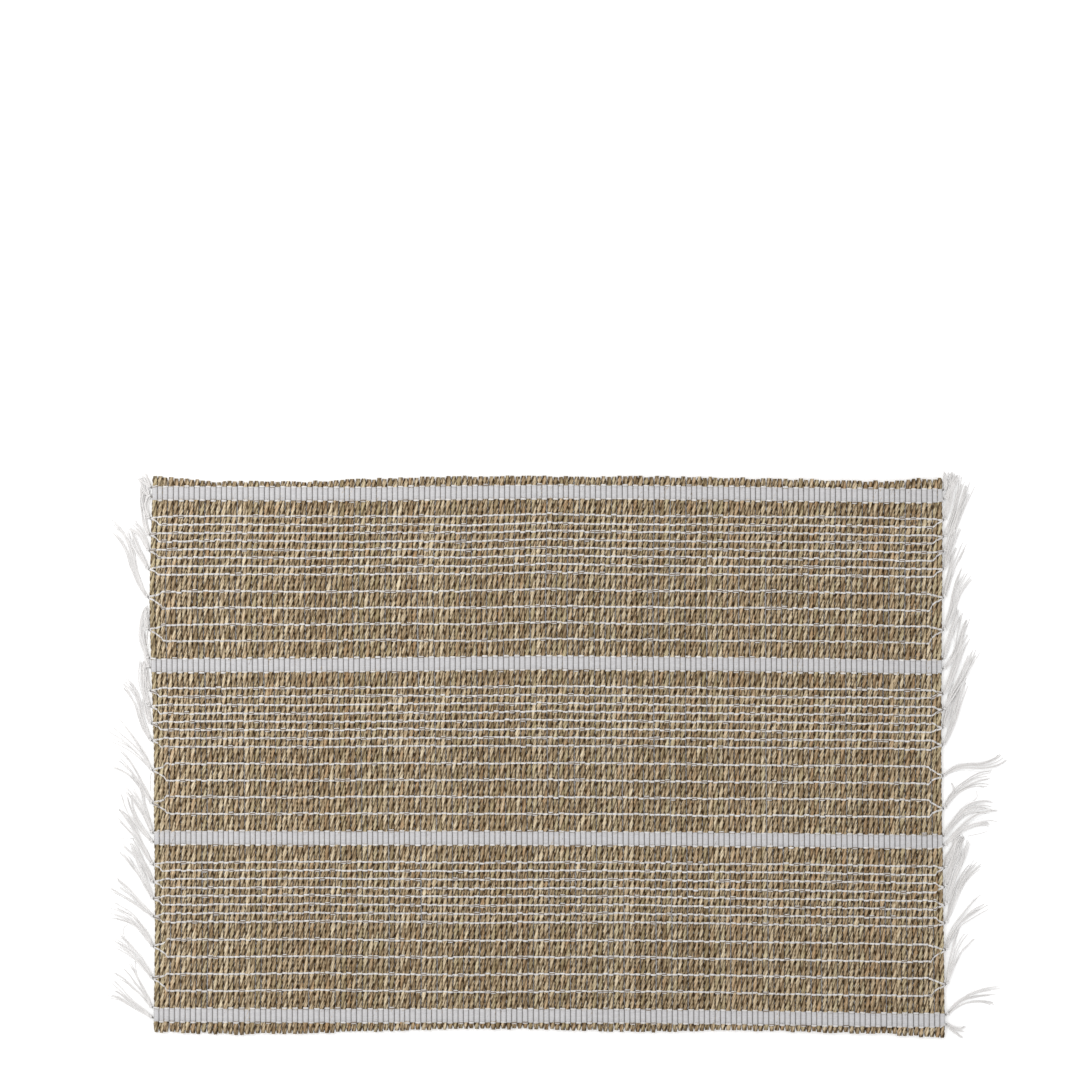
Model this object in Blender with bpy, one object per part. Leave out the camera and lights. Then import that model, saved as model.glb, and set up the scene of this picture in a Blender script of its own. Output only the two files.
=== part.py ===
"""A woven seagrass placemat with cotton warp bands and knotted cotton tassels, lying flat.

The seagrass strands lie side by side and run along Y, so each one is a rib. The cotton warp runs along X:
four solid bands stand a little above the ribs. Past the outer bands the strand ends stand apart like a comb.
At both short edges the warp is tied off in knots, each with a tassel of loose threads on the table.
All sizes are in metres. The origin is on the underside, in the middle of the weave.
"""

import math
import random

import bpy
import bmesh

MM = 0.001

# The weave
STRAND_COUNT = 148
GROOVE_TOP = 2.1 * MM
STRAND_TOP = 3.4 * MM
BAND_TOP = 3.9 * MM
BAND_HALF_HEIGHT = 4.5 * MM
BAND_SHOULDER = 0.9 * MM

# The strand ends past the outer bands
TIP_HALF_WIDTH = 1.32 * MM
TIP_SIDE_TOP = 1.9 * MM
TIP_CREST = 3.2 * MM
TIP_UNEVENNESS = 0.5 * MM
TIP_SWAY = 0.16 * MM

# The tassels
GAP = 0.3 * MM
KNOT_LENGTH = 1.9 * MM
KNOT_HEIGHT = 2.4 * MM
KNOT_BACK_HEIGHT = 1.9 * MM
KNOT_CROWN = 0.4
KNOT_TAPER = 0.8
THREADS_PER_TASSEL = 5
THREAD_WIDTH = 0.4 * MM
THREAD_HEIGHT = 0.6 * MM
THREAD_PITCH = 0.5 * MM
THREAD_STEPS = 3
THREAD_TIP_SHARE = 0.7
SHORTEST_THREAD = 0.84
PATH_STEPS = 8

# Where the left and right edges lie, in millimetres: they wander, as in the hand-woven original.
EDGES = [
    {"y": 169.5, "left": -249.0, "right": 249.5},
    {"y": 98.0, "left": -251.0, "right": 249.3},
    {"y": 0.0, "left": -248.3, "right": 248.9},
    {"y": -110.0, "left": -247.4, "right": 250.4},
    {"y": -170.5, "left": -248.4, "right": 251.2},
]

# The middle of each cotton band, in millimetres, at five places along the mat.
BAND_STATIONS = [-244.0, -124.0, 0.0, 100.0, 224.0]
BANDS = [
    {"name": "top border", "y": [164.3, 163.7, 165.2, 164.3, 162.7]},
    {"name": "upper stripe", "y": [55.7, 56.0, 57.3, 56.7, 54.8]},
    {"name": "lower stripe", "y": [-52.9, -53.2, -53.2, -53.8, -55.4]},
    {"name": "bottom border", "y": [-164.6, -165.2, -165.2, -165.8, -168.0]},
]

# Where the seagrass is cut off, in millimetres.
CUT_LINES = [
    {"x": -249.0, "top": 175.5, "bottom": -175.3},
    {"x": -213.0, "top": 171.8, "bottom": -176.4},
    {"x": -200.0, "top": 171.6, "bottom": -177.2},
    {"x": -150.0, "top": 171.8, "bottom": -176.0},
    {"x": -74.0, "top": 174.6, "bottom": -174.0},
    {"x": -25.0, "top": 175.0, "bottom": -173.4},
    {"x": 65.0, "top": 174.8, "bottom": -175.3},
    {"x": 116.0, "top": 174.0, "bottom": -174.4},
    {"x": 190.0, "top": 172.4, "bottom": -176.0},
    {"x": 217.0, "top": 171.6, "bottom": -177.0},
    {"x": 230.0, "top": 173.4, "bottom": -178.2},
    {"x": 251.0, "top": 173.6, "bottom": -179.0},
]

# One row for each tassel, from the top down. y is the knot's place in millimetres. The headings are in
# degrees above straight outwards, where the threads leave the knot, halfway along and at their ends.
# length is in millimetres, and fan is how much wider apart the threads end than they start.
LEFT_TASSELS = [
    {"y": 167.0, "start": 52, "middle": 64, "end": 72, "length": 8.0, "fan": 0.8},
    {"y": 161.3, "start": 30, "middle": 58, "end": 76, "length": 13.0, "fan": 0.5},
    {"y": 147.7, "start": 62, "middle": 90, "end": 97, "length": 8.0, "fan": 0.3},
    {"y": 137.3, "start": 48, "middle": 80, "end": 86, "length": 32.0, "fan": 0.4},
    {"y": 127.2, "start": 50, "middle": 66, "end": 84, "length": 29.0, "fan": 0.6},
    {"y": 115.6, "start": 52, "middle": 68, "end": 64, "length": 36.0, "fan": 0.9},
    {"y": 97.8, "start": 58, "middle": 76, "end": 44, "length": 55.0, "fan": 1.1},
    {"y": 77.3, "start": 74, "middle": 88, "end": 95, "length": 13.0, "fan": 0.8},
    {"y": 59.5, "start": 56, "middle": 84, "end": 100, "length": 27.0, "fan": 0.4},
    {"y": 53.2, "start": 30, "middle": 74, "end": 84, "length": 25.0, "fan": 0.4},
    {"y": 38.8, "start": 64, "middle": 86, "end": 92, "length": 9.0, "fan": 0.3},
    {"y": 29.0, "start": 48, "middle": 74, "end": 86, "length": 21.0, "fan": 0.4},
    {"y": 18.3, "start": 66, "middle": 90, "end": 96, "length": 6.5, "fan": 0.3},
    {"y": 7.4, "start": 52, "middle": 70, "end": 52, "length": 44.0, "fan": 0.8},
    {"y": -11.2, "start": 60, "middle": 50, "end": 32, "length": 34.0, "fan": 2.4},
    {"y": -32.0, "start": 66, "middle": 50, "end": 60, "length": 35.0, "fan": 3.0},
    {"y": -50.8, "start": 62, "middle": 60, "end": 76, "length": 31.0, "fan": 2.0},
    {"y": -56.4, "start": 30, "middle": 48, "end": 30, "length": 32.0, "fan": 0.9},
    {"y": -70.9, "start": 60, "middle": 60, "end": 46, "length": 19.0, "fan": 0.6},
    {"y": -81.9, "start": 58, "middle": 52, "end": 56, "length": 29.0, "fan": 0.9},
    {"y": -92.6, "start": 56, "middle": 52, "end": 46, "length": 31.0, "fan": 0.8},
    {"y": -103.8, "start": 48, "middle": 50, "end": 18, "length": 33.0, "fan": 1.0},
    {"y": -122.9, "start": 56, "middle": 42, "end": 26, "length": 37.0, "fan": 1.6},
    {"y": -143.0, "start": 60, "middle": 46, "end": 32, "length": 35.0, "fan": 1.2},
    {"y": -162.2, "start": 58, "middle": 54, "end": 48, "length": 32.0, "fan": 1.2},
    {"y": -167.8, "start": 28, "middle": 46, "end": 44, "length": 34.0, "fan": 1.2},
]
RIGHT_TASSELS = [
    {"y": 166.4, "start": 54, "middle": 70, "end": 76, "length": 8.0, "fan": 0.7},
    {"y": 160.4, "start": 36, "middle": 66, "end": 76, "length": 13.0, "fan": 0.5},
    {"y": 146.6, "start": 64, "middle": 88, "end": 94, "length": 8.0, "fan": 0.3},
    {"y": 136.2, "start": 52, "middle": 80, "end": 66, "length": 39.0, "fan": 0.3},
    {"y": 126.8, "start": 50, "middle": 76, "end": 64, "length": 47.0, "fan": 0.4},
    {"y": 115.8, "start": 48, "middle": 72, "end": 80, "length": 20.0, "fan": 0.4},
    {"y": 97.8, "start": 60, "middle": 78, "end": 56, "length": 33.0, "fan": 0.9},
    {"y": 77.3, "start": 64, "middle": 74, "end": 58, "length": 38.0, "fan": 1.3},
    {"y": 59.0, "start": 64, "middle": 76, "end": 66, "length": 33.0, "fan": 0.7},
    {"y": 52.8, "start": 30, "middle": 66, "end": 62, "length": 26.0, "fan": 0.7},
    {"y": 37.0, "start": 62, "middle": 76, "end": 66, "length": 12.0, "fan": 0.4},
    {"y": 27.0, "start": 50, "middle": 72, "end": 72, "length": 31.0, "fan": 0.4},
    {"y": 15.6, "start": 66, "middle": 90, "end": 92, "length": 6.5, "fan": 0.3},
    {"y": 4.6, "start": 56, "middle": 72, "end": 78, "length": 60.0, "fan": 0.5},
    {"y": -14.0, "start": 24, "middle": -2, "end": 40, "length": 42.0, "fan": 1.4},
    {"y": -34.6, "start": 56, "middle": 24, "end": 14, "length": 33.0, "fan": 1.6},
    {"y": -52.2, "start": 68, "middle": 36, "end": -4, "length": 37.0, "fan": 0.9},
    {"y": -58.2, "start": 38, "middle": 26, "end": -6, "length": 39.0, "fan": 0.9},
    {"y": -72.8, "start": 60, "middle": 76, "end": 64, "length": 14.0, "fan": 0.5},
    {"y": -84.8, "start": 54, "middle": 74, "end": 58, "length": 34.0, "fan": 0.5},
    {"y": -96.2, "start": 54, "middle": 72, "end": 74, "length": 43.0, "fan": 0.5},
    {"y": -107.6, "start": 54, "middle": 70, "end": 50, "length": 46.0, "fan": 0.8},
    {"y": -124.4, "start": 70, "middle": 50, "end": 22, "length": 43.0, "fan": 1.6},
    {"y": -146.2, "start": 68, "middle": 80, "end": 66, "length": 28.5, "fan": 2.6},
    {"y": -165.6, "start": 50, "middle": 16, "end": 0, "length": 37.0, "fan": 1.8},
    {"y": -171.4, "start": -20, "middle": -34, "end": -60, "length": 12.0, "fan": 1.6},
]


def between(value, stations, amounts):
    """The amount at a value, in straight lines between the stations, which rise."""
    if value <= stations[0]:
        return amounts[0]
    for low, high, first, last in zip(stations, stations[1:], amounts, amounts[1:]):
        if value <= high:
            return first + (last - first) * (value - low) / (high - low)
    return amounts[-1]


def edge_at(side, y):
    """The x of the left or right edge at a height y."""
    rows = EDGES[::-1]
    return between(y / MM, [row["y"] for row in rows], [row[side] for row in rows]) * MM


def across(share, y):
    """The x of a line that lies that share of the way from the left edge to the right one."""
    left = edge_at("left", y)
    return left + share * (edge_at("right", y) - left)


def band_middle(band, x):
    return between(x / MM, BAND_STATIONS, band["y"]) * MM


def cut_line(side, x):
    return between(x / MM, [row["x"] for row in CUT_LINES], [row[side] for row in CUT_LINES]) * MM


def material(name, colour, roughness):
    made = bpy.data.materials.new(name)
    made.use_nodes = True
    shader = made.node_tree.nodes["Principled BSDF"]
    shader.inputs["Base Color"].default_value = (*colour, 1.0)
    shader.inputs["Roughness"].default_value = roughness
    shader.inputs["Metallic"].default_value = 0.0
    return made


def object_from(name, bm, finish):
    """One object from a closed bmesh, with its faces turned outwards."""
    bmesh.ops.recalc_face_normals(bm, faces=bm.faces)
    mesh = bpy.data.meshes.new(name)
    bm.to_mesh(mesh)
    bm.free()
    mesh.materials.append(finish)
    made = bpy.data.objects.new(name, mesh)
    bpy.context.scene.collection.objects.link(made)
    return made


def bridge(bm, first, second):
    """Joins two rows of points that both run down the mat with triangles, whatever their counts."""
    i, j = 0, 0
    while i < len(first) - 1 or j < len(second) - 1:
        next_first = first[i + 1].co.y if i < len(first) - 1 else -math.inf
        next_second = second[j + 1].co.y if j < len(second) - 1 else -math.inf
        if next_first >= next_second:
            bm.faces.new((first[i], first[i + 1], second[j]))
            i += 1
        else:
            bm.faces.new((first[i], second[j + 1], second[j]))
            j += 1


def groove_rows(share, x_middle):
    """The heights y at which a groove has points, from the top border to the bottom one."""
    top = band_middle(BANDS[0], x_middle) + BAND_HALF_HEIGHT
    bottom = band_middle(BANDS[-1], x_middle) - BAND_HALF_HEIGHT
    return [top] + [row["y"] * MM for row in EDGES[1:-1]] + [bottom]


def crest_rows(x):
    """(y, z) along the crest of a rib, less its two ends: it steps up over each cotton band."""
    rows = []
    for number, band in enumerate(BANDS):
        middle = band_middle(band, x)
        if number > 0:
            rows.append((middle + BAND_HALF_HEIGHT + BAND_SHOULDER, STRAND_TOP))
        rows.append((middle + BAND_HALF_HEIGHT, BAND_TOP))
        rows.append((middle - BAND_HALF_HEIGHT, BAND_TOP))
        if number < len(BANDS) - 1:
            rows.append((middle - BAND_HALF_HEIGHT - BAND_SHOULDER, STRAND_TOP))
    return rows


def woven_mat(finish):
    """The whole woven sheet as one solid, flat below, with a rib for each seagrass strand."""
    bm = bmesh.new()
    chance = random.Random(12)
    grooves = []
    for number in range(STRAND_COUNT + 1):
        share = number / STRAND_COUNT
        rows = groove_rows(share, across(share, 0.0))
        upper = [bm.verts.new((across(share, y), y, GROOVE_TOP)) for y in rows]
        lower = [bm.verts.new((across(share, y), y, 0.0)) for y in rows]
        grooves.append((upper, lower))

    for number in range(STRAND_COUNT):
        share = (number + 0.5) / STRAND_COUNT
        x_middle = across(share, 0.0)
        ends = {}
        for end in ("top", "bottom"):
            y = cut_line(end, x_middle) + chance.uniform(-TIP_UNEVENNESS, TIP_UNEVENNESS)
            x = across(share, y) + chance.uniform(-TIP_SWAY, TIP_SWAY)
            ends[end] = {
                "crest": bm.verts.new((x, y, TIP_CREST)),
                "left": bm.verts.new((x - TIP_HALF_WIDTH, y, TIP_SIDE_TOP)),
                "right": bm.verts.new((x + TIP_HALF_WIDTH, y, TIP_SIDE_TOP)),
                "left foot": bm.verts.new((x - TIP_HALF_WIDTH, y, 0.0)),
                "right foot": bm.verts.new((x + TIP_HALF_WIDTH, y, 0.0)),
            }
        top, bottom = ends["top"], ends["bottom"]
        crest = [bm.verts.new((across(share, y), y, z)) for y, z in crest_rows(x_middle)]
        crest = [top["crest"]] + crest + [bottom["crest"]]
        feet = {}
        for side, (upper, lower) in (("left", grooves[number]), ("right", grooves[number + 1])):
            foot = side + " foot"
            bridge(bm, [top[side]] + upper + [bottom[side]], crest)
            feet[side] = [top[foot]] + lower + [bottom[foot]]
            bm.faces.new((top[side], top[foot], lower[0], upper[0]))
            bm.faces.new((bottom[side], upper[-1], lower[-1], bottom[foot]))
        bridge(bm, feet["left"], feet["right"])
        for end in (top, bottom):
            bm.faces.new([end[key] for key in ("left foot", "right foot", "right", "crest", "left")])

    for upper, lower in (grooves[0], grooves[-1]):
        for row in range(len(upper) - 1):
            bm.faces.new((upper[row], upper[row + 1], lower[row + 1], lower[row]))
    return object_from("woven_mat", bm, finish)


def middle_thread(row):
    """The path of a tassel's middle thread from its knot, as (outwards, up, heading) at each step."""
    start, middle, end = (math.radians(row[key]) for key in ("start", "middle", "end"))
    out, up = 0.0, 0.0
    path = [(out, up, start)]
    fine = PATH_STEPS * THREAD_STEPS
    for step in range(1, fine + 1):
        heading = between((step - 0.5) / fine, [0.0, 0.5, 1.0], [start, middle, end])
        out += math.cos(heading) * row["length"] * MM / fine
        up += math.sin(heading) * row["length"] * MM / fine
        path.append((out, up, between(step / fine, [0.0, 0.5, 1.0], [start, middle, end])))
    return path


def tassel(name, row, side, finish, chance):
    """A knot against the mat's edge, with threads that fan out from it and lie on the table."""
    bm = bmesh.new()
    outwards = -1.0 if side == "left" else 1.0
    start = math.radians(row["start"])
    half = THREADS_PER_TASSEL * THREAD_PITCH / 2
    y_knot = row["y"] * MM
    x_knot = edge_at(side, y_knot) + outwards * (GAP + half * abs(math.sin(start)))
    path = middle_thread(row)

    def point(place, along, aside, z):
        """A corner: along a heading from a place on the path, and aside of it towards the mat."""
        out, up, heading = place
        out += KNOT_LENGTH * math.cos(start) + along * math.cos(heading) - aside * math.sin(heading)
        up += KNOT_LENGTH * math.sin(start) + along * math.sin(heading) + aside * math.cos(heading)
        return bm.verts.new((x_knot + outwards * out, y_knot + up, z))

    knot_end = path[0]
    marks = [half - number * THREAD_PITCH for number in range(THREADS_PER_TASSEL + 1)]
    feet = [point(knot_end, 0.0, mark, 0.0) for mark in marks]
    tops = [point(knot_end, 0.0, mark - THREAD_PITCH / 2, THREAD_HEIGHT) for mark in marks[:-1]]
    narrow = half * KNOT_TAPER
    back_feet = [point(knot_end, -KNOT_LENGTH, aside, 0.0) for aside in (narrow, -narrow)]
    back_tops = [point(knot_end, -KNOT_LENGTH, aside, KNOT_BACK_HEIGHT) for aside in (narrow, -narrow)]
    crown = [point(knot_end, -KNOT_LENGTH * KNOT_CROWN, aside, KNOT_HEIGHT) for aside in (half, -half)]
    bm.faces.new([back_feet[1], back_feet[0]] + feet)
    bm.faces.new([back_feet[0], back_feet[1], back_tops[1], back_tops[0]])
    bm.faces.new([back_tops[0], back_tops[1], crown[1], crown[0]])
    for side_of_knot, outer in ((0, 0), (1, -1)):
        back, head, crest = back_feet[side_of_knot], back_tops[side_of_knot], crown[side_of_knot]
        bm.faces.new([back, head, crest])
        bm.faces.new([back, crest, feet[outer]])
        bm.faces.new([feet[outer], crest, tops[outer]])
    middle = THREADS_PER_TASSEL // 2
    for number in range(THREADS_PER_TASSEL - 1):
        bm.faces.new([tops[number], feet[number + 1], tops[number + 1]])
        bm.faces.new([tops[number], tops[number + 1], crown[0] if number < middle else crown[1]])
    bm.faces.new([crown[0], crown[1], tops[middle]])

    for number in range(THREADS_PER_TASSEL):
        ring = [feet[number], feet[number + 1], tops[number]]
        steps = round((len(path) - 1) * chance.uniform(SHORTEST_THREAD, 1.0))
        for step in range(1, THREAD_STEPS + 1):
            place = path[round(steps * step / THREAD_STEPS)]
            share = step / THREAD_STEPS
            aside = (middle - number) * THREAD_PITCH * (1.0 + row["fan"] * share**2)
            size = THREAD_TIP_SHARE if step == THREAD_STEPS else 1.0
            new_ring = [
                point(place, 0.0, aside + size * THREAD_WIDTH / 2, 0.0),
                point(place, 0.0, aside - size * THREAD_WIDTH / 2, 0.0),
                point(place, 0.0, aside, size * THREAD_HEIGHT),
            ]
            for corner in range(3):
                after = (corner + 1) % 3
                bm.faces.new((ring[corner], ring[after], new_ring[after], new_ring[corner]))
            ring = new_ring
        bm.faces.new(ring)
    return object_from(name, bm, finish)


def build():
    for old in list(bpy.data.objects):
        bpy.data.objects.remove(old)
    seagrass = material("seagrass", (0.37, 0.27, 0.15), 0.75)
    cotton = material("cotton", (0.84, 0.83, 0.80), 0.9)
    woven_mat(seagrass)
    chance = random.Random(5)
    for side, rows in (("left", LEFT_TASSELS), ("right", RIGHT_TASSELS)):
        for number, row in enumerate(rows, 1):
            tassel(f"tassel_{side}_{number:02d}", row, side, cotton, chance)


build()
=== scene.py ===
# Seagrass placemat, laid flat: twisted seagrass strands, cotton warp rows, white bands, knotted fringe
import math

import bpy
import numpy as np
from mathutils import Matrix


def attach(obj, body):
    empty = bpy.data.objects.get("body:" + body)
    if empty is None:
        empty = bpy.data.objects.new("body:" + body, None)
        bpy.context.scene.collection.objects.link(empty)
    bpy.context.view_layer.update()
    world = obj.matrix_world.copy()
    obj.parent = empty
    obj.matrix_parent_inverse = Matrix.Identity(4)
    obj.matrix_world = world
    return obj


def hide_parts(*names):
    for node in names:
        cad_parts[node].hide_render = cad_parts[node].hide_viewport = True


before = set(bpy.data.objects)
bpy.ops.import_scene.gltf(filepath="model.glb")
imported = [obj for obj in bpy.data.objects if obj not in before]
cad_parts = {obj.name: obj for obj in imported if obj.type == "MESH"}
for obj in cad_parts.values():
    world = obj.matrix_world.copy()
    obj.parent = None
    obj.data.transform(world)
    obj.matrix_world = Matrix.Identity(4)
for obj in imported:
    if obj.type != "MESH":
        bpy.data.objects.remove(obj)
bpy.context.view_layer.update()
bpy.ops.object.select_all(action="DESELECT")
mm = 0.001
chance = np.random.default_rng(7)
print("frame loaded:", len(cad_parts), "nodes")

# The layout repeats the CAD model's own measures, in millimetres
layout = {
    "strands": 148,
    "edgeY": [-170.5, -110.0, 0.0, 98.0, 169.5],
    "leftX": [-248.4, -247.4, -248.3, -251.0, -249.0],
    "rightX": [251.2, 250.4, 248.9, 249.3, 249.5],
    "bandX": [-244.0, -124.0, 0.0, 100.0, 224.0],
    "bandY": [
        [164.3, 163.7, 165.2, 164.3, 162.7],
        [55.7, 56.0, 57.3, 56.7, 54.8],
        [-52.9, -53.2, -53.2, -53.8, -55.4],
        [-164.6, -165.2, -165.2, -165.8, -168.0],
    ],
    "cutX": [-249, -213, -200, -150, -74, -25, 65, 116, 190, 217, 230, 251],
    "cutTop": [
        175.5, 171.8, 171.6, 171.8, 174.6, 175.0,
        174.8, 174.0, 172.4, 171.6, 173.4, 173.6,
    ],
    "cutBottom": [
        -175.3, -176.4, -177.2, -176.0, -174.0, -173.4,
        -175.3, -174.4, -176.0, -177.0, -178.2, -179.0,
    ],
}


def edgeX(side, y):
    return np.interp(y, layout["edgeY"], layout[side + "X"])


def acrossX(share, y):
    left = edgeX("left", y)
    return left + share * (edgeX("right", y) - left)


def bandMiddle(number, x):
    return np.interp(x, layout["bandX"], layout["bandY"][number])


def smoothNoise(count, steps, knots):
    # one soft random curve from -1 to 1 for each of count rows
    rough = chance.uniform(-1, 1, (count, knots + 3))
    place = np.linspace(0, knots, steps)
    low = np.minimum(place.astype(int), knots - 1)
    part = place - low
    a, b, c, d = (rough[:, low + k] for k in range(4))
    return (
        a * (1 - part) ** 3
        + b * (3 * part**3 - 6 * part**2 + 4)
        + c * (-3 * part**3 + 3 * part**2 + 3 * part + 1)
        + d * part**3
    ) / 6 * 1.5


def tubes(name, centres, upward, sideward, section, marks, closed=True):
    # joined tubes from arrays: centres, upward and sideward are (tube, step, 3) in mm,
    # section is (side, 2) or (tube, step, side, 2) as (sideward, upward)
    count, steps = centres.shape[:2]
    section = np.broadcast_to(section, (count, steps) + section.shape[-2:])
    sides = section.shape[2]
    points = (
        centres[:, :, None, :]
        + sideward[:, :, None, :] * section[..., 0:1]
        + upward[:, :, None, :] * section[..., 1:2]
    )
    along = np.zeros((count, steps))
    along[:, 1:] = np.cumsum(np.linalg.norm(np.diff(centres, axis=1), axis=2), axis=1)
    index = np.arange(count * steps * sides).reshape(count, steps, sides)
    after = np.roll(index, -1, axis=2)
    quads = np.stack([index[:, :-1], after[:, :-1], after[:, 1:], index[:, 1:]], axis=-1).reshape(-1, 4)
    u = np.broadcast_to(np.arange(sides) / sides, (count, steps - 1, sides))
    v0 = np.broadcast_to(along[:, :-1, None] / 10, u.shape)
    v1 = np.broadcast_to(along[:, 1:, None] / 10, u.shape)
    corners = [(u, v0), (u + 1 / sides, v0), (u + 1 / sides, v1), (u, v1)]
    quadUv = np.stack([np.stack(corner, -1) for corner in corners], axis=3).reshape(-1, 2)
    loops = quads.reshape(-1)
    starts = np.arange(len(quads)) * 4
    totals = np.full(len(quads), 4)
    uv = quadUv
    if closed:
        caps = np.concatenate([index[:, 0, ::-1], index[:, -1, :]])
        starts = np.concatenate([starts, len(loops) + np.arange(len(caps)) * sides])
        totals = np.concatenate([totals, np.full(len(caps), sides)])
        loops = np.concatenate([loops, caps.reshape(-1)])
        capUv = np.zeros((caps.size, 2))
        capUv[:, 0] = 0.5
        uv = np.concatenate([uv, capUv])
    mesh = bpy.data.meshes.new(name)
    mesh.vertices.add(points.size // 3)
    mesh.vertices.foreach_set("co", (points * mm).astype(np.float32).ravel())
    mesh.loops.add(len(loops))
    mesh.loops.foreach_set("vertex_index", loops.astype(np.int32))
    mesh.polygons.add(len(starts))
    mesh.polygons.foreach_set("loop_start", starts.astype(np.int32))
    mesh.polygons.foreach_set("loop_total", totals.astype(np.int32))
    mesh.polygons.foreach_set("use_smooth", np.arange(len(starts)) < len(quads))
    mesh.update(calc_edges=True)
    layer = mesh.uv_layers.new(name="lay")
    layer.data.foreach_set("uv", uv.astype(np.float32).ravel())
    for key, value in marks.items():
        mark = mesh.attributes.new(key, "FLOAT", "POINT")
        full = np.broadcast_to(value, (count, steps, sides))
        mark.data.foreach_set("value", full.astype(np.float32).ravel())
    made = bpy.data.objects.new(name, mesh)
    bpy.context.scene.collection.objects.link(made)
    capTriangles = 2 * count * (sides - 2) if closed else 0
    print("made", name, len(quads) * 2 + capTriangles, "triangles")
    return made


# Where each strand lies: evenly shared out, a little to one side, and swaying along its length
weave = {
    "pitch": 3.38,
    "axisHeight": 1.95,
    "shift": 0.24,
    "sway": 0.15,
    "swayKnots": 13,
    "stations": 61,
    "reach": 181.0,
}
swayLines = smoothNoise(layout["strands"], weave["stations"], weave["swayKnots"]) * weave["sway"]
swayLines += chance.uniform(-1, 1, (layout["strands"], 1)) * weave["shift"]


def strandX(y):
    # x of every strand at its own heights y, one row for each strand
    count = layout["strands"]
    share = (np.arange(count)[:, None] + 0.5) / count
    place = (y + weave["reach"]) / (2 * weave["reach"]) * (weave["stations"] - 1)
    low = np.clip(place.astype(int), 0, weave["stations"] - 2)
    part = np.clip(place - low, 0, 1)
    before = np.take_along_axis(swayLines, low, 1)
    after = np.take_along_axis(swayLines, low + 1, 1)
    return acrossX(share, y) + before * (1 - part) + after * part


def crossings(level, parts):
    # x at each of parts of the half gap beside every strand: -1 and 1 are the valleys, 0 the crest
    centre = strandX(np.full((layout["strands"], 1), level))[:, 0]
    valley = (centre[1:] + centre[:-1]) / 2
    half = weave["pitch"] / 2
    left = np.concatenate([[centre[0] - half], valley])
    right = np.concatenate([valley, [centre[-1] + half]])
    parts = np.array(parts)
    towards = np.where(parts < 0, (left - centre)[:, None], (right - centre)[:, None])
    return centre[:, None] + np.abs(parts) * towards


# Seagrass: two plies twisted to the right round each other in every strand
seagrass = {
    "plyOffset": 0.74,
    "plyRadial": 0.94,
    "plyWide": 1.62,
    "lay": 21.0,
    "layVariation": 0.14,
    "steps": 134,
    "sectionAngles": [0, 62, 140, 220, 298],
    # painted shade on the inner flank of each ply, where it meets the other ply
    "inward": [0.0, 0.0, 0.9, 0.9, 0.0],
    "thickness": 0.07,
    "thicknessKnots": 22,
    "ownThickness": 0.04,
    "heightSway": 0.06,
    "heightKnots": 12,
    "turnSway": 0.6,
    "turnKnots": 10,
    "uneven": 0.6,
    "tipShrink": 0.72,
}


def strandPlies():
    s = seagrass
    count, steps = layout["strands"], s["steps"]
    x0 = acrossX((np.arange(count) + 0.5) / count, 0.0)
    top = np.interp(x0, layout["cutX"], layout["cutTop"]) + chance.uniform(-1, 1, count) * s["uneven"]
    bottom = np.interp(x0, layout["cutX"], layout["cutBottom"]) + chance.uniform(-1, 1, count) * s["uneven"]
    t = np.linspace(0, 1, steps)
    y = bottom[:, None] + (top - bottom)[:, None] * t
    x = strandX(y)
    z = weave["axisHeight"] + smoothNoise(count, steps, s["heightKnots"]) * s["heightSway"]
    lay = s["lay"] * (1 + chance.uniform(-1, 1, count) * s["layVariation"])
    turn = (
        chance.uniform(0, 2 * math.pi, count)[:, None]
        + (y - bottom[:, None]) / lay[:, None] * 2 * math.pi
        + smoothNoise(count, steps, s["turnKnots"]) * s["turnSway"]
    )
    angles = np.radians(s["sectionAngles"])
    shrink = np.ones(steps)
    shrink[[0, -1]] = s["tipShrink"]
    made = []
    for number, name in enumerate(("seagrassPlyOne", "seagrassPlyTwo")):
        phase = turn + number * math.pi
        # a right-handed turn about +Y carries z towards x
        radial = np.stack([np.sin(phase), np.zeros_like(phase), np.cos(phase)], -1)
        tangent = np.stack([np.cos(phase), np.zeros_like(phase), -np.sin(phase)], -1)
        fat = 1 + smoothNoise(count, steps, s["thicknessKnots"]) * s["thickness"]
        fat = (fat + chance.uniform(-s["ownThickness"], s["ownThickness"], (count, 1))) * shrink
        centre = np.stack([x, y, z], -1) + radial * (s["plyOffset"] * fat)[..., None]
        across = np.sin(angles) * s["plyWide"] * fat[..., None]
        outwards = np.cos(angles) * s["plyRadial"] * fat[..., None]
        section = np.stack([across, outwards], -1)
        marks = {
            "tone": chance.uniform(0, 1, (count, 1, 1)),
            "hue": chance.uniform(0, 1, (count, 1, 1)),
            "inward": np.array(s["inward"]),
        }
        made.append(tubes(name, centre, radial, tangent, section, marks))
    return made


# Cotton: pairs of warp ends between the bands, and close warp in the bands
cotton = {
    "rowFloat": 1.66,
    "edgeFloat": 1.72,
    "edgeY": 4.3,
    "endGap": 0.30,
    "threadWide": 0.60,
    "threadHigh": 0.34,
    "denseFirst": 0.134,
    "densePitch": 0.0483,
    "denseRows": 8,
    "wideFirst": 0.572,
    "widePitch": 0.096,
    "wideRows": 4,
    "denseGather": 5.0,
    "wideGather": 8.0,
    "edgeGather": 3.0,
    "gatherPull": 0.9,
    "endReach": 0.9,
    "endHeight": 1.5,
    "rowDrift": 0.3,
    "sectionDrift": 0.5,
    "bandDrift": 0.15,
    "step": 0.16,
    "splitShare": 0.14,
    "splitOpen": (0.6, 1.0),
    "splitClosed": (0.0, 0.12),
    "splitWider": 0.75,
    "rowParts": [-0.74, 0.0, 0.74],
}


def wander(amount):
    # a row that drifts a little on its way across
    knots = chance.uniform(-1, 1, 11) * amount
    stations = np.linspace(-250, 250, 11)
    return lambda x: np.interp(x, stations, knots)


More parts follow.
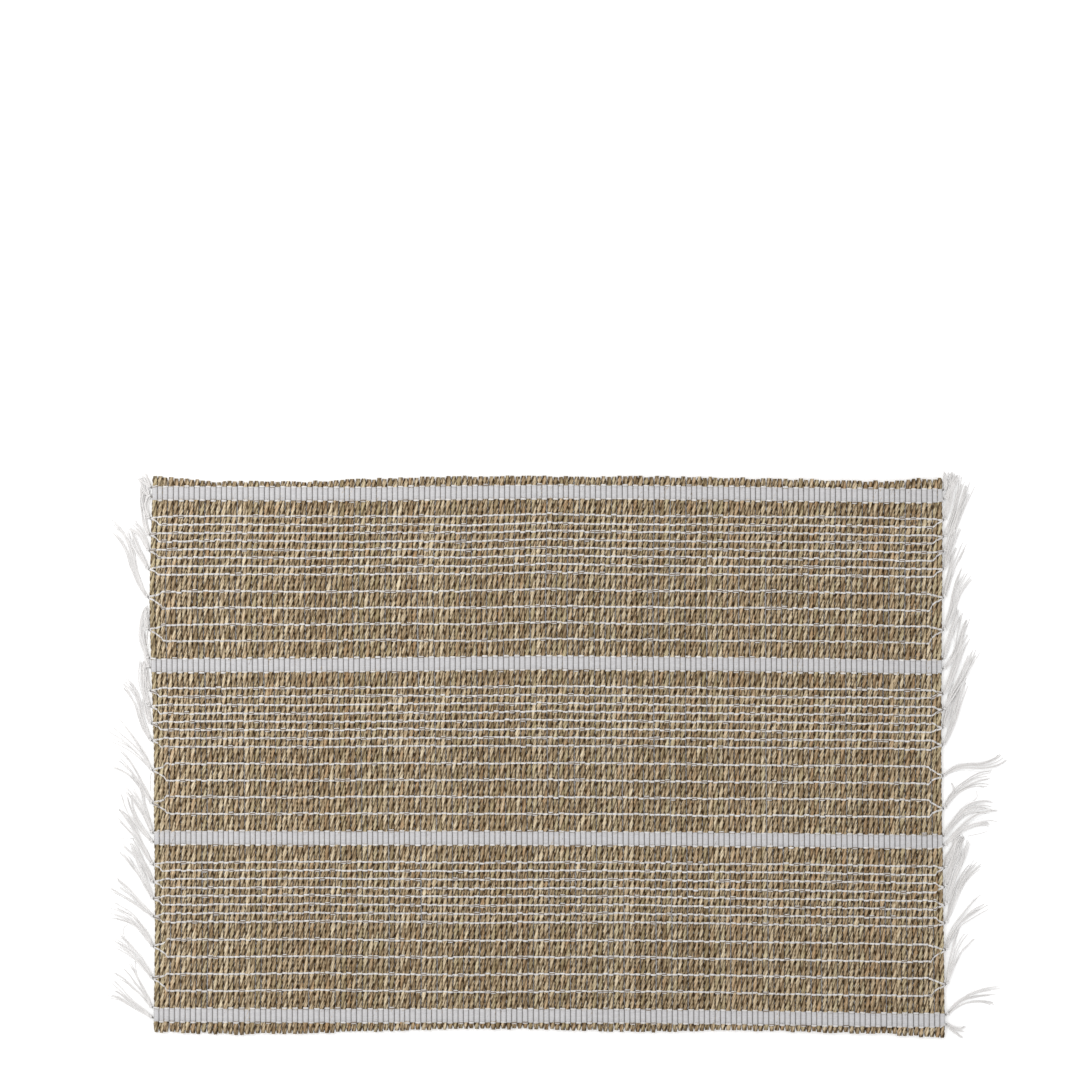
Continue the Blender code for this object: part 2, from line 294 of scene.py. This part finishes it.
def wovenThreads(name, rows):
    # rows: {"y": function of x, "knotY": (left, right), "gather": mm, "first": 0 or 1, "float": mm}
    c = cotton
    count, parts = layout["strands"], c["rowParts"]
    over = np.where(np.arange(count) % 2 == 0, 1.0, -1.0)
    away = np.tile(np.abs(parts), count) * weave["pitch"] / 2
    centres, splits = [], []
    for row in rows:
        side = np.repeat(over * (1 if row["first"] == 0 else -1), len(parts))
        x = crossings(row["level"], parts).ravel()
        y = row["y"](x) + np.repeat(chance.normal(0, c["step"], count), len(parts))
        for knot, edge in zip(row["knotY"], ("left", "right")):
            near = np.abs(x - edgeX(edge, row["level"]))
            pull = np.sqrt(np.clip(1 - near / row["gather"], 0, 1))
            y = y + (knot - y) * pull * c["gatherPull"]
        rise = np.sqrt(row["float"] ** 2 - away**2)
        line = np.stack([x, y, weave["axisHeight"] + side * rise], -1)
        first = [edgeX("left", row["level"]) - c["endReach"], row["knotY"][0], c["endHeight"]]
        last = [edgeX("right", row["level"]) + c["endReach"], row["knotY"][1], c["endHeight"]]
        centres.append(np.concatenate([[first], line, [last]]))
        opens = chance.uniform(0, 1, count) < c["splitShare"]
        wideSplit = chance.uniform(*c["splitOpen"], count)
        narrowSplit = chance.uniform(*c["splitClosed"], count)
        split = np.where(opens, wideSplit, narrowSplit)
        splits.append(np.concatenate([[0.0], np.repeat(split, len(parts)), [0.0]]))
    centres, splits = np.array(centres), np.array(splits)
    ahead = np.gradient(centres, axis=1)
    ahead /= np.linalg.norm(ahead, axis=2, keepdims=True)
    sideward = np.zeros_like(centres)
    sideward[..., 1] = -1
    upward = np.cross(sideward, ahead)
    upward /= np.linalg.norm(upward, axis=2, keepdims=True)
    wide, high = c["threadWide"], c["threadHigh"]
    diamond = np.array([[0.0, high], [wide, 0.0], [0.0, -high], [-wide, 0.0]])
    section = np.broadcast_to(diamond, centres.shape[:2] + diamond.shape).copy()
    section[..., 0] *= (1 + c["splitWider"] * splits)[..., None]
    marks = {"tone": chance.uniform(0, 1, (len(rows), 1, 1)), "split": splits[..., None]}
    return tubes(name, centres, upward, sideward, section, marks)


def rowPath(section, share, drift, common, lift):
    # y of a warp end on its way across, between the band above it and the band below
    def y(x):
        above, below = bandMiddle(section, x), bandMiddle(section + 1, x)
        return above + (below - above) * share + drift(x) + common(x) + lift
    return y


def edgePath(band, common, lift):
    # y of the outermost end of a band
    return lambda x: bandMiddle(band, x) + lift + common(x)


def cottonRows():
    c = cotton
    perSection, rows = 8, []
    for section in range(3):
        shares = [c["denseFirst"] + c["densePitch"] * n for n in range(c["denseRows"])]
        shares += [c["wideFirst"] + c["widePitch"] * n for n in range(c["wideRows"])]
        drifts = [wander(c["rowDrift"]) for share in shares]
        common = wander(c["sectionDrift"])
        for number, (share, drift) in enumerate(zip(shares, drifts)):
            # two rows meet in each knot, and the first two knots of a section belong to its band
            knot = section * perSection + 2 + number // 2
            gather = c["denseGather"] if number < c["denseRows"] else c["wideGather"]
            level = float(rowPath(section, share, drift, common, 0)(0.0))
            for end, lift in enumerate((c["endGap"] / 2, -c["endGap"] / 2)):
                rows.append({
                    "y": rowPath(section, share, drift, common, lift),
                    "knotY": [fringe[edge][knot][0] + lift for edge in ("left", "right")],
                    "gather": gather,
                    "first": end,
                    "float": c["rowFloat"],
                    "level": level,
                })
    for band in range(4):
        common = wander(c["bandDrift"])
        for end, lift in enumerate((c["edgeY"], -c["edgeY"])):
            path = edgePath(band, common, lift)
            rows.append({
                "y": path,
                "knotY": [fringe[edge][band * perSection + end][0] for edge in ("left", "right")],
                "gather": c["edgeGather"],
                "first": end,
                "float": c["edgeFloat"],
                "level": float(path(0.0)),
            })
    half = len(rows) // 2
    return [wovenThreads("cottonRowsUpper", rows[:half]), wovenThreads("cottonRowsLower", rows[half:])]


# Bands: close cotton that covers the strands, one rounded column over each
bandCloth = {
    "parts": [-1.0, -0.84, -0.45, 0.0, 0.45, 0.84],
    "rises": [0.42, 1.30, 1.78, 1.90, 1.78, 1.30],
    "sideY": [4.35, 4.0, 1.3, -1.3, -4.0, -4.35],
    "sideRise": [0.62, 0.97, 1.0, 1.0, 0.97, 0.62],
    "unevenTop": 0.03,
    "unevenSide": 0.12,
    "edgeRoom": 0.5,
    "lastEdge": 0.3,
    "threadPitch": 0.72,
}


def cottonBands():
    b = bandCloth
    count, parts = layout["strands"], b["parts"]
    centres, sections, lanes = [], [], []
    sideY = np.array(b["sideY"] + b["sideY"][::-1])
    sideRise = np.array(b["sideRise"] + [-value for value in b["sideRise"][::-1]])
    for band in range(4):
        x = crossings(float(bandMiddle(band, 0.0)), parts).ravel()
        x = np.append(x, x[-1] + b["lastEdge"])
        y = bandMiddle(band, x) + wander(cotton["bandDrift"])(x)
        centres.append(np.stack([x, y, np.full_like(x, weave["axisHeight"])], -1))
        own = np.repeat(1 + chance.uniform(-1, 1, count) * b["unevenTop"], len(parts))
        rise = np.append(np.tile(b["rises"], count) * own, b["rises"][0])
        wide = np.append(np.repeat(chance.uniform(-1, 1, count) * b["unevenSide"], len(parts)), 0.0)
        turn = np.append(np.repeat(np.arange(count) % 2, len(parts)), 0)[:, None]
        # the outermost end lies over every other strand, and the column is shorter there
        shorter = np.where(sideY > 0, 1 - turn, turn) * b["edgeRoom"]
        shorter = np.where(sideRise > 0, shorter, b["edgeRoom"] - shorter)
        across = sideY + np.sign(sideY) * (wide[:, None] - shorter)
        sections.append(np.stack([-across, sideRise * rise[:, None]], -1))
        lanes.append(across / b["threadPitch"] + turn * 0.5)
    centres = np.array(centres)
    sideward = np.zeros_like(centres)
    sideward[..., 1] = -1
    upward = np.zeros_like(centres)
    upward[..., 2] = 1
    return tubes("cottonBands", centres, upward, sideward, np.array(sections), {"lane": np.array(lanes)})


# Fringe: one row for each knot from the top down. Headings are degrees above straight outwards
fringe = {
    "yarns": 8,
    "yarn": 0.30,
    "pitch": 0.36,
    "steps": 16,
    "locks": [-1, -1, -1, 0, 0, 1, 1, 1],
    "lockSpread": 1.5,
    "lockWave": 0.7,
    "ownWave": 0.3,
    "ownHeading": 1.5,
    "looseHeading": 4.5,
    "shorter": 0.2,
    "looseLonger": 0.06,
    "fan": 0.3,
    "layer": 0.55,
    "rootOut": 0.3,
    "rootSide": 1.2,
    "knotReach": 1.2,
    "knotRise": 1.1,
    "fibres": 4,
    "fibre": 0.06,
    "left": [
        # y, start, middle, end, length, fan
        (167.8, 56, 56, 60, 9.0, 1.2), (162.1, 50, 78, 72, 13.0, 0.6), (148.5, 58, 90, 112, 19.0, 0.3),
        (138.1, 64, 90, 92, 31.0, 0.3), (128.0, 72, 60, 34, 20.0, 0.8), (116.4, 64, 62, 72, 28.0, 0.4),
        (98.6, 58, 80, 38, 56.0, 0.7), (78.3, 72, 92, 118, 14.0, 0.4), (60.3, 60, 88, 124, 32.0, 0.3),
        (54.4, 72, 86, 100, 23.0, 0.3), (39.6, 70, 80, 86, 18.0, 0.4), (29.8, 62, 86, 96, 31.0, 0.4),
        (19.1, 70, 82, 86, 16.0, 0.4), (8.2, 60, 80, 44, 45.0, 0.7), (-10.4, 62, 46, 40, 38.0, 2.6),
        (-31.2, 58, 58, 30, 39.0, 2.6), (-50.0, 72, 66, 64, 33.0, 2.0), (-55.6, 46, 60, 78, 37.0, 1.0),
        (-70.0, 60, 62, 42, 41.0, 1.2), (-81.0, 66, 58, 52, 30.0, 1.4), (-91.6, 66, 60, 54, 37.0, 1.8),
        (-102.8, 42, 44, 32, 33.0, 1.8), (-121.6, 62, 44, 12, 38.0, 1.8), (-141.6, 58, 50, 30, 36.0, 1.4),
        (-160.0, 58, 54, 50, 31.0, 2.4), (-166.4, 34, 38, 30, 34.0, 1.8),
    ],
    "right": [
        (166.4, 76, 80, 78, 11.0, 1.2), (160.8, 54, 68, 62, 17.0, 0.6), (147.4, 74, 82, 72, 30.0, 0.4),
        (137.0, 62, 78, 70, 40.0, 0.4), (127.6, 66, 72, 64, 47.0, 0.6), (116.6, 76, 74, 64, 29.0, 0.5),
        (98.6, 76, 72, 66, 37.0, 1.3), (78.1, 66, 76, 56, 39.0, 1.5), (59.8, 78, 70, 72, 33.0, 0.7),
        (53.6, 46, 74, 74, 37.0, 1.0), (37.8, 64, 72, 66, 40.0, 0.6), (27.8, 60, 60, 66, 42.0, 0.7),
        (16.4, 74, 78, 66, 27.0, 0.4), (5.4, 66, 74, 76, 44.0, 0.6), (-14.0, 42, -6, 38, 43.0, 1.1),
        (-34.6, 62, 32, 4, 37.0, 1.5), (-52.0, 62, 40, -14, 40.0, 1.6), (-58.0, 48, 34, -8, 39.0, 1.5),
        (-72.0, 78, 62, 56, 24.0, 0.5), (-84.0, 78, 70, 68, 35.0, 0.6), (-95.4, 76, 70, 70, 44.0, 0.6),
        (-106.8, 70, 70, 42, 47.0, 1.0), (-123.6, 78, 46, 30, 41.0, 1.8), (-145.4, 78, 70, 50, 36.0, 2.8),
        (-164.8, 50, 20, -8, 36.0, 2.2), (-170.6, -38, -24, -10, 12.0, 1.4),
    ],
    "stray": 0.20,
    "strays": [
        # x and y at the start, the middle and the end of a single thread
        (-260.0, -129.0, -259.6, -135.3, -258.2, -140.9),
        (-264.5, -107.9, -267.4, -110.8, -266.6, -115.7),
        (-275.7, -48.7, -270.8, -53.0, -260.3, -53.5),
        (-249.9, -12.2, -250.6, -17.8, -250.4, -23.4),
        (-258.9, 145.3, -260.0, 149.0, -261.7, 152.3),
        (257.3, -25.4, 256.3, -21.8, 255.0, -18.4),
        (257.9, -25.2, 256.9, -21.6, 255.5, -18.2),
        (270.6, -23.2, 271.4, -27.0, 269.1, -29.9),
        (265.4, -52.1, 271.3, -50.9, 277.7, -49.2),
    ],
}


def knotX(edge, out, y, lay):
    # a tassel that lies along the edge starts further out than one that points away from it
    return edgeX(edge, y) + out * (fringe["rootOut"] + fringe["rootSide"] * abs(math.sin(lay)))


def tasselThreads(name, count, radius, sides, loose):
    f = fringe
    steps = f["steps"]
    t = np.linspace(0, 1, steps)
    lines, tones = [], []
    for edge, out in (("left", -1.0), ("right", 1.0)):
        for place, (y, start, middle, end, length, fan) in enumerate(f[edge]):
            under = (place % 3) * f["layer"]
            waves = smoothNoise(3, steps, 5) * f["lockWave"] * t
            for number in range(count):
                lane = (count - 1) / 2 - number
                lock = f["locks"][number * len(f["locks"]) // count]
                own = np.radians(chance.normal(0, f["ownHeading"] + f["looseHeading"] * loose, 3))
                heads = np.interp(t, [0, 0.5, 1], np.radians([start, middle, end]) + own)
                reach = length * (1 - chance.uniform(0, f["shorter"])) * (1 + f["looseLonger"] * loose)
                step = reach / (steps - 1)
                middles = (heads[1:] + heads[:-1]) / 2
                outward = np.concatenate([[0], np.cumsum(np.cos(middles) * step)])
                up = np.concatenate([[0], np.cumsum(np.sin(middles) * step)])
                # the yarns lie side by side, close at the knot, and part into three locks at the tip
                spread = lane * f["pitch"] * f["yarns"] / count * np.clip(t * 3 + 0.45, 0, 1)
                spread = spread * (1 + f["fan"] * fan * t)
                spread = spread - lock * f["lockSpread"] * fan * t**2 + waves[lock]
                spread = spread + smoothNoise(1, steps, 4)[0] * f["ownWave"] * t * (1 + 2 * loose)
                lay = math.radians(start)
                root = knotX(edge, out, y, lay)
                x = root + out * (f["knotReach"] * math.cos(lay) + outward - spread * np.sin(heads))
                yarnY = y + f["knotReach"] * math.sin(lay) + up + spread * np.cos(heads)
                # down from the knot to the floor, and over the tassels that lie below
                lift = radius + (f["knotRise"] + chance.uniform(-0.5, 0.5)) * np.exp(-t * reach / 5)
                lift = lift + (chance.uniform(0, 0.6) + under) * np.sin(t * math.pi) ** 0.7 + loose * 0.5 * t
                lines.append(np.stack([x, yarnY, lift], -1))
                tones.append(chance.uniform(0, 1))
    taper = np.interp(t, [0, 0.05, 0.85, 1], [0.8, 1.0, 1.0, 0.55])
    return threads(name, np.array(lines), taper, radius, sides, tones)


def threads(name, centres, taper, radius, sides, tones):
    # round threads that lie flat, from their centres
    ahead = np.gradient(centres, axis=1)
    ahead /= np.linalg.norm(ahead, axis=2, keepdims=True)
    upward = np.zeros_like(centres)
    upward[..., 2] = 1
    sideward = np.cross(ahead, upward)
    sideward /= np.linalg.norm(sideward, axis=2, keepdims=True)
    upward = np.cross(sideward, ahead)
    turn = np.arange(sides) / sides * 2 * math.pi
    ring = np.stack([np.sin(turn), np.cos(turn)], -1) * radius
    section = np.broadcast_to(ring * taper[None, :, None, None], centres.shape[:2] + ring.shape)
    return tubes(name, centres, upward, sideward, section, {"tone": np.array(tones).reshape(-1, 1, 1)})


def strayThreads():
    f = fringe
    t = np.linspace(0, 1, 10)
    # each thread is a parabola through its start, middle and end
    atStart, atMiddle, atEnd = (1 - t) * (1 - 2 * t), 4 * t * (1 - t), t * (2 * t - 1)
    lines = []
    for x0, y0, x1, y1, x2, y2 in f["strays"]:
        x = x0 * atStart + x1 * atMiddle + x2 * atEnd
        y = y0 * atStart + y1 * atMiddle + y2 * atEnd
        lines.append(np.stack([x, y, f["stray"] + 0.4 * np.sin(t * math.pi)], -1))
    taper = np.interp(t, [0, 0.85, 1], [1.0, 1.0, 0.6])
    return threads("fringeStrays", np.array(lines), taper, f["stray"], 5, chance.uniform(0, 1, len(lines)))


# Knots: an overhand knot each, a fat turn of yarn round the gathered ends
knotForm = {
    "size": 1.25,
    "sizeSpread": 0.12,
    "yarn": 0.5,
    "inset": 0.42,
    "turns": 2.1,
    "steps": 26,
    "sides": 6,
    "drift": 0.55,
    "wave": 0.25,
    "tilt": 0.4,
    "flatness": 0.92,
    "out": 0.2,
    "along": 0.9,
    "above": 0.05,
}


def tasselKnots():
    k = knotForm
    lines = []
    turns = np.linspace(0, 2 * math.pi * k["turns"], k["steps"])
    for edge, out in (("left", -1.0), ("right", 1.0)):
        for y, start, *rest in fringe[edge]:
            lay = math.radians(start)
            alongX, alongY = out * math.cos(lay), math.sin(lay)
            root = knotX(edge, out, y, lay) + out * k["out"]
            size = k["size"] * chance.uniform(1 - k["sizeSpread"], 1 + k["sizeSpread"])
            tilt = chance.uniform(-k["tilt"], k["tilt"])
            drift = np.linspace(-k["drift"], k["drift"], len(turns)) + k["wave"] * np.sin(turns / 2 + tilt)
            ringAcross = np.cos(turns) * (size - k["inset"])
            ringHeight = np.sin(turns) * (size - k["inset"]) * k["flatness"]
            x = root + alongX * (k["along"] + drift) - out * math.sin(lay) * ringAcross
            yarnY = y + alongY * (k["along"] + drift) + math.cos(lay) * ringAcross
            lines.append(np.stack([x, yarnY, size + k["above"] + ringHeight], -1))
    centres = np.array(lines)
    middle = centres.mean(axis=1, keepdims=True)
    ahead = np.gradient(centres, axis=1)
    ahead /= np.linalg.norm(ahead, axis=2, keepdims=True)
    upward = centres - middle
    upward -= ahead * (upward * ahead).sum(2, keepdims=True)
    upward /= np.linalg.norm(upward, axis=2, keepdims=True)
    sideward = np.cross(ahead, upward)
    turn = np.arange(k["sides"]) / k["sides"] * 2 * math.pi
    section = np.stack([np.sin(turn), np.cos(turn)], -1) * k["yarn"]
    tone = chance.uniform(0, 1, (len(lines), 1, 1))
    return tubes("fringeKnots", centres, upward, sideward, section, {"tone": tone})


# Shader sums: a Wire is one value, and + - * / on it add Math nodes
class Wire:
    def __init__(self, tree, socket):
        self.tree = tree
        self.socket = socket

    def sum(self, operation, first, second):
        made = self.tree.nodes.new("ShaderNodeMath")
        made.operation = operation
        for place, value in enumerate((first, second)):
            if isinstance(value, Wire):
                self.tree.links.new(value.socket, made.inputs[place])
            elif value is not None:
                made.inputs[place].default_value = value
        return Wire(self.tree, made.outputs[0])

    def __add__(self, other):
        return self.sum("ADD", self, other)

    def __radd__(self, other):
        return self.sum("ADD", other, self)

    def __sub__(self, other):
        return self.sum("SUBTRACT", self, other)

    def __rsub__(self, other):
        return self.sum("SUBTRACT", other, self)

    def __mul__(self, other):
        return self.sum("MULTIPLY", self, other)

    def __rmul__(self, other):
        return self.sum("MULTIPLY", other, self)

    def __truediv__(self, other):
        return self.sum("DIVIDE", self, other)

    def __pow__(self, other):
        return self.sum("POWER", self, other)

    def sine(self):
        return self.sum("SINE", self, None)

    def cosine(self):
        return self.sum("COSINE", self, None)

    def size(self):
        return self.sum("ABSOLUTE", self, None)

    def above(self, limit):
        return self.sum("GREATER_THAN", self, limit)


class Finish:
    def __init__(self, name):
        self.material = bpy.data.materials.new(name)
        self.material.use_nodes = True
        self.tree = self.material.node_tree
        self.surface = self.tree.nodes["Principled BSDF"]

    def node(self, kind, settings, sockets):
        made = self.tree.nodes.new("ShaderNode" + kind)
        for key, value in settings.items():
            if key == "stops":
                stops = made.color_ramp.elements
                while len(stops) < len(value):
                    stops.new(0.5)
                for stop, (place, colour) in zip(stops, value):
                    stop.position = place
                    stop.color = (*colour, 1.0)
            else:
                setattr(made, key, value)
        self.feed(made, sockets)
        return made

    def feed(self, node, sockets):
        for key, value in sockets.items():
            if isinstance(value, Wire):
                self.tree.links.new(value.socket, node.inputs[key])
            else:
                node.inputs[key].default_value = value

    def wire(self, node, output=0):
        return Wire(self.tree, node.outputs[output])

    def attribute(self, name):
        return self.wire(self.node("Attribute", {"attribute_name": name}, {}), "Fac")

    def noise(self, vector, scale, detail=2.0, rough=0.5):
        sockets = {"Vector": vector, "Scale": scale, "Detail": detail, "Roughness": rough}
        return self.wire(self.node("TexNoise", {}, sockets), "Fac")

    def ramp(self, value, stops):
        return self.wire(self.node("ValToRGB", {"stops": stops}, {"Fac": value}), "Color")

    def blend(self, factor, first, second, how="MIX"):
        made = self.node("Mix", {"data_type": "RGBA", "blend_type": how}, {0: factor})
        self.feed(made, {6: first, 7: second})
        return self.wire(made, 2)

    def span(self, value, low, high, atLow, atHigh):
        settings = {"interpolation_type": "SMOOTHSTEP"}
        sockets = {"Value": value, "From Min": low, "From Max": high, "To Min": atLow, "To Max": atHigh}
        return self.wire(self.node("MapRange", settings, sockets))

    def bump(self, strength, distance, height):
        sockets = {"Strength": strength, "Distance": distance, "Height": height}
        return self.wire(self.node("Bump", {}, sockets), "Normal")

    def height(self):
        place = self.wire(self.node("TexCoord", {}, {}), "Object")
        return self.wire(self.node("SeparateXYZ", {}, {"Vector": place}), "Z")

    def vector(self, x, y, z):
        return self.wire(self.node("CombineXYZ", {}, {"X": x, "Y": y, "Z": z}))

    def uv(self):
        place = self.wire(self.node("UVMap", {"uv_map": "lay"}, {}))
        apart = self.node("SeparateXYZ", {}, {"Vector": place})
        return self.wire(apart, "X"), self.wire(apart, "Y")


seagrassFinish = {
    "dark": (0.150, 0.092, 0.040),
    "tan": (0.500, 0.380, 0.235),
    "straw": (0.820, 0.700, 0.500),
    "rust": (0.430, 0.230, 0.095),
    "olive": (0.340, 0.305, 0.150),
    # colour of the painted shade between the plies and in the valleys between strands
    "paintedShade": (0.070, 0.038, 0.015),
    "fibresAround": 15.0,
    "fibresAlong": 0.9,
    "bump": 0.00014,
    "roughness": 0.62,
}


def valleyShade(made, deep, clear):
    # painted shade mask: 1 deep between the strands, down to 0 at their crests, from the height above or
    # below their axis
    height = made.height() * (1 / mm) - weave["axisHeight"]
    away = height.size()
    return made.span(away, deep, clear, 1.0, 0.0)


def makeSeagrass():
    s = seagrassFinish
    made = Finish("seagrass")
    around, along = made.uv()
    tone, hue = made.attribute("tone"), made.attribute("hue")
    fibrePlace = made.vector(around * s["fibresAround"], along * s["fibresAlong"], tone * 90)
    fibres = made.noise(fibrePlace, 1.0, 3.0, 0.68)
    patches = made.noise(made.vector(around * 1.2, along * 1.1, hue * 70 + 5), 1.0, 2.0, 0.5)
    flecks = made.noise(made.vector(around * 7, along * 3.0, tone * 40 + 9), 1.0, 1.0, 0.5)
    folds = made.noise(made.vector(around * 5, along * 0.5, hue * 50 + 3), 1.0, 1.0, 0.4) - 0.5
    fold = made.span(folds.size(), 0.01, 0.07, 1.0, 0.0)
    level = fibres * 1.15 + patches * 0.7 + tone * 0.35 - 0.55
    colour = made.ramp(level, [(0.15, s["dark"]), (0.5, s["tan"]), (0.85, s["straw"])])
    rusty = made.span(patches + hue * 0.5, 0.92, 1.02, 0.0, 0.45)
    colour = made.blend(rusty, colour, (*s["rust"], 1))
    colour = made.blend(made.span(hue, 0.1, 0.3, 0.35, 0.0), colour, (*s["olive"], 1))
    colour = made.blend((flecks - 0.66).above(0.0) * 0.5, colour, (*s["dark"], 1))
    colour = made.blend(fold * 0.75, colour, (*s["dark"], 1))
    # painted shade: the inner flank of each ply, and the valleys between the strands, blend towards the dark
    # shade colour
    inward = made.attribute("inward")
    colour = made.blend(inward * inward * 0.8, colour, (*s["paintedShade"], 1))
    colour = made.blend(valleyShade(made, 0.3, 1.0) * 0.85, colour, (*s["paintedShade"], 1))
    relief = fibres * 0.8 + flecks * 0.2 - fold * 0.5
    bump = made.bump(0.9, s["bump"], relief)
    rough = fibres * -0.25 + (s["roughness"] + 0.12)
    made.feed(made.surface, {"Base Color": colour, "Roughness": rough, "Normal": bump})
    made.surface.inputs["Specular IOR Level"].default_value = 0.2
    return made.material


cottonFinish = {
    "white": (0.790, 0.775, 0.765),
    "shade": (0.600, 0.580, 0.570),
    "bandWhite": (0.605, 0.597, 0.605),
    "bandShade": (0.430, 0.422, 0.426),
    # colour of the painted shade in the valleys between the strands
    "paintedShade": (0.110, 0.098, 0.090),
    # the parting between two threads: partly the strand's own colour, partly painted shade
    "between": (0.140, 0.095, 0.055),
    "twist": 5.5,
    "bump": 0.0001,
}


def finishCotton(made, colour, relief, fuzz):
    bump = made.bump(0.8, cottonFinish["bump"], relief)
    made.feed(made.surface, {"Base Color": colour, "Roughness": fuzz * 0.15 + 0.78, "Normal": bump})
    made.surface.inputs["Sheen Weight"].default_value = 0.15
    made.surface.inputs["Specular IOR Level"].default_value = 0.25
    return made.material


def makeCotton():
    # spun thread: its twist shows as slanting shade
    c = cottonFinish
    made = Finish("cotton")
    around, along = made.uv()
    tone = made.attribute("tone")
    twist = ((around * 2 + along * c["twist"]) * (2 * math.pi)).sine() * 0.5 + 0.5
    fuzz = made.noise(made.vector(around * 9, along * 6, tone * 60), 1.0, 3.0, 0.65)
    level = twist * 0.35 + fuzz * 0.6 + tone * 0.2
    colour = made.ramp(level, [(0.15, c["shade"]), (0.75, c["white"])])
    return finishCotton(made, colour, twist * 0.7 + fuzz * 0.5, fuzz)


def makeCottonRow():
    # warp ends: two threads side by side, parted here and there so that the strand shows between, painted as
    # the strand's dark colour with painted shade in the gap
    c = cottonFinish
    made = Finish("cottonRow")
    around, along = made.uv()
    tone, split = made.attribute("tone"), made.attribute("split")
    fuzz = made.noise(made.vector(around * 7, along * 6, tone * 60), 1.0, 3.0, 0.65)
    colour = made.ramp(fuzz * 0.9 + tone * 0.2, [(0.2, c["shade"]), (0.7, c["white"])])
    # the parting along the top and bottom edge of the thread is painted dark: the strand below, with painted
    # shade in the gap
    top = (around * (2 * math.pi)).cosine().size()
    part = made.span(top + split * 0.26, 0.98, 1.04, 0.0, 1.0)
    colour = made.blend(part * 0.85, colour, (*c["between"], 1))
    # painted shade where the threads dip into the valleys between the strands
    colour = made.blend(valleyShade(made, 0.2, 1.0) * 0.85, colour, (*c["paintedShade"], 1))
    return finishCotton(made, colour, fuzz * 0.5 - part, fuzz)


def makeCottonBand():
    # close warp: fine threads across each column, with painted shade in the valleys between
    c = cottonFinish
    made = Finish("cottonBand")
    around, along = made.uv()
    lane = made.attribute("lane")
    thread = (lane * (2 * math.pi)).sine() * 0.5 + 0.5
    fuzz = made.noise(made.vector(lane * 1.5, along * 5, 3.0), 1.0, 3.0, 0.6)
    strip = made.noise(made.vector(lane * 1.0, along * 0.8, 8.0), 1.0, 1.0, 0.5)
    level = thread * 0.16 + fuzz * 0.6 + strip * 0.3
    colour = made.ramp(level, [(0.28, c["bandShade"]), (0.68, c["bandWhite"])])
    # painted shade in the valleys between the columns
    colour = made.blend(valleyShade(made, 0.6, 1.45) * 0.85, colour, (*c["paintedShade"], 1))
    return finishCotton(made, colour, thread + fuzz * 0.6, fuzz)


def dress(piece, material):
    piece.data.materials.clear()
    piece.data.materials.append(material)
    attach(piece, "root")


plies = strandPlies()
rows = cottonRows()
bands = cottonBands()
yarns = tasselThreads("fringeYarns", fringe["yarns"], fringe["yarn"], 5, 0.0)
fibres = tasselThreads("fringeFibres", fringe["fibres"], fringe["fibre"], 3, 1.0)
strays = strayThreads()
knots = tasselKnots()

seagrassMaterial = makeSeagrass()
cottonMaterial, rowMaterial, bandMaterial = makeCotton(), makeCottonRow(), makeCottonBand()
for ply in plies:
    dress(ply, seagrassMaterial)
for row in rows:
    dress(row, rowMaterial)
dress(bands, bandMaterial)
for piece in [yarns, fibres, strays, knots]:
    dress(piece, cottonMaterial)
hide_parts("woven_mat")
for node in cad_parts:
    if node.startswith("tassel"):
        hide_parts(node)
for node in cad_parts.values():
    node.data.materials.clear()
    node.data.materials.append(seagrassMaterial if node.name == "woven_mat" else cottonMaterial)
print("pieces dressed")

# The floor, the light and the camera straight above, framed as the photograph
studio = {
    "pixelsWide": 1080,
    "millimetresPerPixel": 0.6313,
    "matMiddle": (547.0, 753.5),
    "cameraHeight": 2.4,
    "nearest": 0.05,
    "sensor": 36.0,
    "floorSize": 8.0,
    "floorRoughness": 0.9,
    "floorGloss": 0.1,
    "floor": (0.93, 0.93, 0.93),
    "floorGlow": 0.12,
    "world": 1.02,
    "keyPower": 24.0,
    "keyPlace": (-0.9, 0.7, 1.6),
    "keySize": 1.2,
}


def makeStudio():
    s = studio
    bpy.ops.mesh.primitive_plane_add(size=s["floorSize"], location=(0, 0, 0))
    floor = bpy.context.active_object
    floor.name = "floor"
    finish = Finish("paleFloor")
    finish.surface.inputs["Base Color"].default_value = (*s["floor"], 1)
    finish.surface.inputs["Roughness"].default_value = s["floorRoughness"]
    finish.surface.inputs["Specular IOR Level"].default_value = s["floorGloss"]
    finish.surface.inputs["Emission Color"].default_value = (1, 1, 1, 1)
    finish.surface.inputs["Emission Strength"].default_value = s["floorGlow"]
    floor.data.materials.append(finish.material)

    bpy.context.scene.view_settings.view_transform = "Standard"
    world = bpy.data.worlds.new("studio")
    bpy.context.scene.world = world
    world.use_nodes = True
    background = world.node_tree.nodes["Background"]
    background.inputs["Color"].default_value = (1, 1, 1, 1)
    background.inputs["Strength"].default_value = s["world"]

    bpy.ops.object.light_add(type="AREA", location=s["keyPlace"])
    key = bpy.context.active_object
    key.data.energy = s["keyPower"]
    key.data.size = s["keySize"]
    # the light faces the middle of the mat
    reach = -np.array(s["keyPlace"])
    lean = math.acos(-reach[2] / np.linalg.norm(reach))
    key.rotation_euler = (lean, 0, math.atan2(reach[0], -reach[1]))

    scale = s["millimetresPerPixel"] * mm
    middle = s["pixelsWide"] / 2
    x = (middle - s["matMiddle"][0]) * scale
    y = (s["matMiddle"][1] - middle) * scale
    bpy.ops.object.camera_add(location=(x, y, s["cameraHeight"]), rotation=(0, 0, 0))
    camera = bpy.context.active_object
    camera.data.sensor_width = s["sensor"]
    camera.data.lens = s["sensor"] * s["cameraHeight"] / (s["pixelsWide"] * scale)
    camera.data.clip_start = s["nearest"]
    bpy.context.scene.camera = camera


makeStudio()
print("studio ready")
